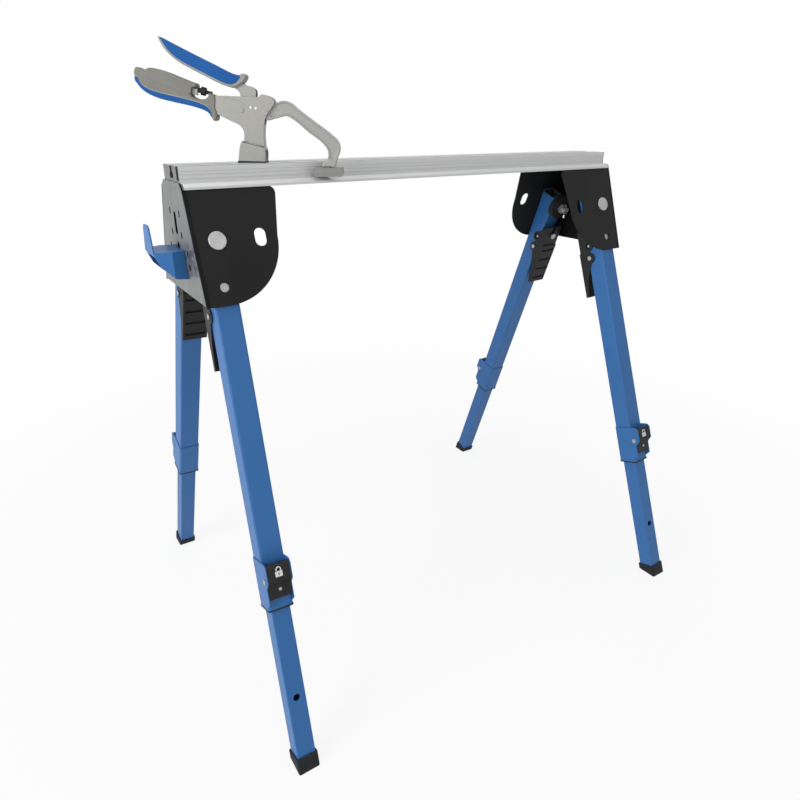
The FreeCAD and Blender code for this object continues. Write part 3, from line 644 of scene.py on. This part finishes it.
def bare_screw(centre, normal):
    return (to_clamp @ centre).x < screw_bit


dressed("clamp_pad", pad_finish, edge=0.0008)
dressed("clamp_button", steel_finish, edge=0.0004)
dressed("clamp_pins", steel_finish, edge=0.0004)
retouch(dressed("clamp_thumb_screw", moulded_finish, edge=0.0005), plated_finish, bare_screw)


# Clamp body: two stamped steel plates, joined below and at the tang, with a gap for the lever and the arm.
# A drawn line and two small sight holes are pressed in the plates.
# Outlines here and in the next sections are in millimetres, along the clamp and up from the rail.
mould_weld = 1e-5
tool_soft = 0.0001


def moulding(name, outline, crisp, half, soft):
    bpy.ops.object.select_all(action="DESELECT")
    bpy.ops.curve.primitive_bezier_curve_add()
    piece = bpy.context.object
    piece.name = name
    edge = piece.data
    edge.splines.clear()
    line = edge.splines.new("BEZIER")
    line.bezier_points.add(len(outline) - 1)
    for index, (point, (along, rise)) in enumerate(zip(line.bezier_points, outline)):
        point.co = (along / 1000, rise / 1000, 0)
        point.handle_left_type = point.handle_right_type = "VECTOR" if index in crisp else "AUTO"
    line.use_cyclic_u = True
    line.resolution_u = 8
    edge.dimensions = "2D"
    edge.fill_mode = "BOTH"
    edge.extrude = half - soft
    edge.bevel_depth = soft
    edge.bevel_resolution = 3
    edge.offset = -soft
    bpy.ops.object.convert(target="MESH")
    piece = bpy.context.object
    open_mesh(piece)
    bpy.ops.mesh.remove_doubles(threshold=mould_weld)
    bpy.ops.mesh.dissolve_limited(angle_limit=flat_angle)
    bpy.ops.object.mode_set(mode="OBJECT")
    return piece


def finished(piece, finish, body, sharp=40):
    settle(piece, clamp_frame @ stood_up)
    shaded(piece, math.radians(sharp))
    coated(piece, finish)
    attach(piece, body)


def box_tool(along, across, rise):
    return moulding("tool", oblong(*along, *rise), crisp=range(4), half=across / 1000, soft=tool_soft)


def sunk(tool, depth):
    tool.location.z = depth
    return tool


def faceted(piece):
    select_only(piece)
    split = piece.modifiers.new("facets", "TRIANGULATE")
    bpy.ops.object.modifier_apply(modifier=split.name)
    return piece


half_body = 0.0085
line_depth = 0.0005
hole_depth = 0.0028
body_outline = (
    (-44.0, 60.0), (-39.8, 79.3), (-26.9, 79.3), (-12.4, 78.6), (2.1, 78.0), (14.8, 77.8),
    (17.7, 80.4), (24.9, 79.8), (32.8, 75.7), (34.6, 72.4), (32.2, 67.5), (26.4, 60.6),
    (21.9, 53.8), (19.9, 47.5), (18.5, 39.0), (17.8, 31.3), (18.0, 24.0), (17.0, 14.0),
    (-8.6, 14.0), (-8.6, 25.0), (-8.0, 28.7), (-7.4, 33.9), (-8.7, 40.7), (-12.0, 44.9),
    (-22.6, 50.0), (-38.4, 57.2),
)
line_outline = (
    (-28.9, 77.9), (-16.4, 75.2), (-7.4, 71.9), (-2.6, 68.0), (-3.2, 67.6), (-7.8, 71.3),
    (-16.6, 74.6), (-28.9, 77.3),
)
body = moulding("stamped_body", body_outline, crisp=(0, 1, 5, 17, 18), half=half_body, soft=0.0006)
carve(body, box_tool(along=(-41.7, 40.6), across=5.9, rise=(46.0, 90.0)))
for side in (-1, 1):
    line = moulding("line", line_outline, crisp=(0, 3, 4, 7), half=line_depth, soft=tool_soft)
    carve(faceted(body), sunk(line, side * half_body))
sight_holes = ((3.2, 65.8), (9.7, 65.0))
sight_radius = 1.6
window_radius = 4.4
hole_turns = [math.radians(30 * step) for step in range(12)]
for middle in sight_holes:
    for radius, depth in ((sight_radius, half_body), (window_radius, -half_body)):
        hole = moulding("hole", arc(middle, radius, hole_turns), crisp=(), half=hole_depth, soft=tool_soft)
        carve(faceted(body), sunk(hole, depth))
finished(body, steel_finish, "clamp_frame", sharp=30)
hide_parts("clamp_body")


# Clamp lever: a folded steel channel between the body's plates, open at the end by the arm.
# It turns on the pin through the body and carries the upper grip.
# The inside of the channel is painted black as shade.
lever_outline = (
    (-15.0, 58.0), (-8.5, 55.2), (-2.0, 58.0), (-1.2, 70.0), (9.6, 71.3), (11.4, 78.5),
    (11.2, 85.8), (8.5, 88.6), (-2.7, 92.4), (-7.0, 96.0), (-48.0, 112.0), (-50.0, 106.0),
    (-22.0, 91.5), (-15.5, 88.2), (-9.6, 82.8), (-9.2, 77.0), (-13.5, 70.0),
)
channel_along = (0.003, 0.0113)
channel_half = 0.0047
channel_rise = (0.072, 0.087)


# Painted shade: the faces inside the channel take the black moulding.
def channel_shade_faces(centre, normal):
    along, across, rise = to_clamp @ centre
    within = channel_along[0] < along < channel_along[1] and channel_rise[0] < rise < channel_rise[1]
    return within and abs(across) < channel_half


lever = moulding("folded_lever", lever_outline, crisp=(3, 4, 9, 10, 11, 12), half=0.0055, soft=0.0007)
carve(lever, box_tool(along=(4.0, 16.0), across=4.6, rise=(73.0, 86.2)))
finished(lever, steel_finish, "clamp_handle", sharp=30)
retouch(lever, moulded_finish, channel_shade_faces)
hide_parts("clamp_lever")


# Clamp arm: a cast S-shaped lever with raised rims, ending in a foot above the ball of the pad.
# The ball and its neck are turned, and stay as the solid has them.
half_arm = 0.0055
hollow_depth = 0.0014
hollow_soft = 0.0011
ball_top = -0.0045
arm_outline = (
    (13.5, 56.5), (21.0, 51.0), (32.0, 52.6), (41.9, 55.0), (47.6, 55.8), (53.2, 53.9),
    (76.2, 36.6), (96.8, 20.2), (100.4, 13.0), (99.2, 4.4), (93.0, -1.2), (91.6, -5.2),
    (109.8, -5.2), (111.8, 2.2), (116.9, 16.5), (114.8, 25.2), (105.9, 34.0), (84.2, 49.6),
    (62.8, 65.0), (54.1, 71.8), (45.0, 73.8), (34.4, 71.0), (21.0, 69.0), (13.8, 63.5),
)
hollow_outline = (
    (28.0, 54.6), (41.4, 57.1), (48.2, 57.9), (54.5, 55.7), (77.4, 38.3), (98.4, 21.4),
    (102.5, 13.2), (102.0, 5.0), (108.6, 3.4), (114.7, 16.8), (112.8, 24.2), (104.6, 32.3),
    (83.0, 47.9), (61.5, 63.3), (53.3, 69.7), (45.0, 71.6), (35.2, 69.0), (28.0, 66.8),
)
arm = moulding("cast_arm", arm_outline, crisp=(11, 12), half=half_arm, soft=0.0011)
hollows = []
for side in (-1, 1):
    hollow = moulding("hollow", hollow_outline, crisp=(0, 7, 8, 17), half=hollow_depth, soft=hollow_soft)
    hollows.append(sunk(hollow, side * half_arm))
carve(faceted(arm), joined(*hollows))
finished(arm, steel_finish, "clamp_arm", sharp=30)
ball = traced("clamp_arm")
open_mesh(ball)
bpy.ops.mesh.bisect(plane_co=clamp_frame @ Vector((0, 0, ball_top)), plane_no=(0, 0, 1), use_fill=True,
                    clear_outer=True)
bpy.ops.object.mode_set(mode="OBJECT")
stand_in(ball, "clamp_arm", steel_finish, edge=0.0002)


# Clamp boot: a cast shoe on the rail, hollow at its end, with a thin black strip under it that stands for
# its contact shadow on the rail.
# The body's plates stand in it, with a black seam round them.
# The button's stem comes up into it from the T-slot.
boot_outline = ((-17.6, 1.2), (18.4, 1.2), (18.9, 15.6), (17.6, 18.5), (-9.6, 25.5), (-11.8, 24.6))
boot = moulding("cast_boot", boot_outline, crisp=(0, 1), half=0.0120, soft=0.0008)
carve(boot, box_tool(along=(12.0, 26.0), across=9.8, rise=(3.2, 15.4)))
finished(boot, steel_finish, "clamp_frame", sharp=30)
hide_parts("clamp_base")
# Painted shadow: a thin black strip under the boot for its contact shadow on the rail.
contact_shadow_outline = ((-18.0, 0.1), (19.0, 0.1), (18.8, 1.7), (-17.6, 2.6))
contact_shadow_strip = moulding("boot_contact_shadow", contact_shadow_outline, crisp=range(4), half=0.0122, soft=0.0002)
finished(contact_shadow_strip, moulded_finish, "clamp_frame")
seam_outline = ((-10.2, 25.1), (17.4, 18.1), (17.5, 19.2), (-10.0, 26.3))
seam = moulding("boot_seam", seam_outline, crisp=range(4), half=0.0120, soft=0.0002)
finished(seam, moulded_finish, "clamp_frame")


# Clamp grips: a blue moulding with a pale core on the lever, and a grey one with a blue stripe on the tang.
# Both are soft to the touch, with a fine matt grain, and the thumb screw's nut sits in the lower one.
# A pale band between the lower grip's core and its stripe is a painted highlight on the core's chamfer.
def grip_finish(name, deep, pale, rough, gloss):
    finish, place, shader = new_finish(name)
    touch = place.noise(1600.0, rough=0.6)
    fade = place.noise(30.0)
    feed(shader, Base_Color=fade.between(0.3, 0.7).blend(deep, pale), Roughness=rough + 0.15 * touch,
         Specular_IOR_Level=gloss, Normal=touch.bump(depth=0.0002, strength=0.3))
    return finish


grip_blue = grip_finish("soft_blue_grip", deep=(0.003, 0.088, 0.325, 1), pale=(0.006, 0.100, 0.36, 1),
                        rough=0.48, gloss=0.25)
grip_grey = grip_finish("soft_grey_grip", deep=(0.185, 0.182, 0.162, 1), pale=(0.225, 0.221, 0.197, 1),
                        rough=0.5, gloss=0.5)
# The pale finish serves the upper core and the painted highlight band on the lower grip.
pale_grip_and_highlight = grip_finish("pale_grip_and_painted_highlight", deep=(0.29, 0.288, 0.27, 1), pale=(0.34, 0.338, 0.318, 1),
                        rough=0.5, gloss=0.5)
edge_proud = 0.0002
panel_proud = 0.0004
half_grip = 0.010
half_edge = half_grip + edge_proud
half_panel = half_grip + panel_proud
upper_outline = (
    (-103.8, 145.0), (-69.3, 128.2), (-40.7, 115.0), (-16.8, 104.1), (-8.9, 102.4), (-2.6, 104.2),
    (1.0, 102.4), (-0.8, 97.0), (-4.3, 93.6), (-9.1, 91.0), (-15.7, 88.6), (-25.4, 90.4),
    (-49.5, 100.9), (-66.4, 109.1), (-79.9, 116.2), (-92.8, 126.3), (-100.2, 136.0),
)
upper_grip = moulding("upper_grip_core", upper_outline, crisp=(0,), half=half_grip, soft=0.0022)
finished(upper_grip, pale_grip_and_highlight, "clamp_handle")
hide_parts("clamp_upper_grip")
panel_outline = (
    (-101.6, 144.4), (-69.2, 128.7), (-40.7, 115.5), (-16.8, 104.6), (-9.4, 102.6), (-5.8, 101.2),
    (-7.4, 97.4), (-13.5, 92.6), (-19.9, 91.4), (-26.9, 93.2), (-49.1, 103.2), (-64.3, 110.5),
    (-76.3, 116.6), (-88.2, 124.8), (-96.2, 134.2),
)
panel = moulding("upper_grip_panel", panel_outline, crisp=(0,), half=half_panel, soft=0.0016)
finished(panel, grip_blue, "clamp_handle")
lower_outline = (
    (-134.9, 111.5), (-128.9, 109.5), (-124.5, 109.0), (-63.0, 92.6), (-62.4, 89.9), (-68.6, 88.3),
    (-70.4, 80.6), (-64.6, 76.4), (-58.0, 75.3), (-50.6, 77.0), (-47.5, 82.6), (-40.6, 79.9),
    (-40.0, 74.0), (-41.2, 67.4), (-39.9, 57.5), (-43.9, 50.2), (-46.9, 53.8), (-50.3, 60.0),
    (-54.6, 62.7), (-68.1, 67.1), (-94.7, 72.9), (-114.0, 77.8), (-127.5, 84.3), (-135.2, 92.3),
    (-138.2, 100.6), (-138.6, 106.2),
)
lower_grip = moulding("lower_grip_core", lower_outline, crisp=(3, 5, 10, 11), half=half_grip, soft=0.0020)
finished(lower_grip, grip_grey, "clamp_frame")
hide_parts("clamp_lower_grip")
raised_outline = (
    (-121.6, 109.8), (-63.4, 93.4), (-63.0, 90.2), (-69.0, 88.3), (-71.0, 82.0), (-92.5, 88.1),
    (-111.5, 94.0), (-120.5, 99.6), (-123.2, 104.8),
)
raised = moulding("lower_grip_pad", raised_outline, crisp=(1, 2, 3), half=half_panel, soft=0.0006)
finished(raised, grip_grey, "clamp_frame")
stripe_upper = (
    (-135.9, 101.7), (-131.4, 93.8), (-123.3, 87.8), (-111.3, 83.6), (-93.7, 79.7), (-72.6, 74.8),
    (-58.5, 70.6), (-49.9, 66.0), (-46.6, 60.4), (-47.4, 55.0),
)
stripe_lower = (
    (-50.4, 59.5), (-54.7, 62.2), (-68.1, 66.6), (-94.7, 72.4), (-114.0, 77.3), (-127.7, 83.9),
    (-135.5, 92.0), (-138.5, 100.3),
)
stripe_outline = stripe_upper + stripe_lower
stripe = moulding("lower_grip_stripe", stripe_outline, crisp=(9,), half=half_panel, soft=0.0012)
finished(stripe, grip_blue, "clamp_frame")
# Painted highlight: a pale band shows along the stripe's upper edge, for the lit chamfer of the core.
edge_rise = 1.3
highlight_outline = [(along, rise + edge_rise) for along, rise in stripe_outline]
pale = moulding("lower_grip_painted_highlight", highlight_outline, crisp=(9,), half=half_edge, soft=0.0012)
finished(pale, pale_grip_and_highlight, "clamp_frame")
nut_outline = ((-69.6, 88.6), (-62.6, 87.2), (-64.4, 79.8), (-70.8, 81.2))
nut = moulding("screw_nut", nut_outline, crisp=range(4), half=0.0042, soft=0.0006)
finished(nut, plated_finish, "clamp_frame")


# Studio: a pale floor, a white surround, soft lamps at the left, front and top, and the camera.
# The camera stands at the left front, as in the photograph.
def seen_directly(tree):
    rays = [Signal(tree).node("ShaderNodeLightPath", {}, {}, ray)
            for ray in ("Is Camera Ray", "Is Glossy Ray", "Is Transmission Ray")]
    return (rays[0] + rays[1] + rays[2]).between(0, 1)


white = (1, 1, 1, 1)
floor_level = -0.0005
bpy.ops.mesh.primitive_plane_add(size=30, location=(0, 0, floor_level))
floor = bpy.context.object
floor.name = "studio_floor"
floor_finish, place, shader = new_finish("pale_floor")
feed(shader, Base_Color=(0.9, 0.9, 0.9, 1), Roughness=0.9)
tree = floor_finish.node_tree
away = place.node("ShaderNodeVectorMath", {"operation": "LENGTH"}, {0: place}, "Value")
shown = (0.88 + 0.12 * away.between(0.5, 1.5)) * seen_directly(tree)
glow = Signal(tree).node("ShaderNodeEmission", {}, {"Color": white, "Strength": 1.0})
matt = Signal(tree, shader.outputs[0])
lit = matt.node("ShaderNodeMixShader", {}, {0: shown, 1: matt, 2: glow})
plug(lit, tree.nodes["Material Output"].inputs["Surface"])
floor.data.materials.append(floor_finish)

world = bpy.data.worlds.new("studio")
bpy.context.scene.world = world
world.use_nodes = True
surround = world.node_tree
feed(surround.nodes["Background"], Color=white, Strength=0.24 + 0.76 * seen_directly(surround))

bench_middle = Vector((0, 0, 0.5))


def lamp(name, place, size, power):
    light = bpy.data.lights.new(name, "AREA")
    light.energy = power
    light.size = size
    holder = bpy.data.objects.new(name, light)
    holder.location = place
    holder.rotation_euler = (bench_middle - Vector(place)).to_track_quat("-Z", "Y").to_euler()
    bpy.context.scene.collection.objects.link(holder)


lamp("left_lamp", (-2.6, -0.5, 1.5), size=1.6, power=48)
lamp("front_lamp", (-0.6, -2.8, 1.9), size=1.6, power=15)
lamp("top_lamp", (0.2, 0.2, 3.0), size=2.0, power=20)

eye = bpy.data.cameras.new("camera")
eye.lens = 27.57
eye.sensor_width = 36
eye.shift_x = 0.0247
camera = bpy.data.objects.new("camera", eye)
camera.location = (shift.x - 0.59008, -0.8320, 0.8084)
camera.rotation_euler = (math.radians(65.63), 0, math.radians(-31.9))
bpy.context.scene.collection.objects.link(camera)
bpy.context.scene.camera = camera
bpy.context.scene.view_settings.view_transform = "Standard"
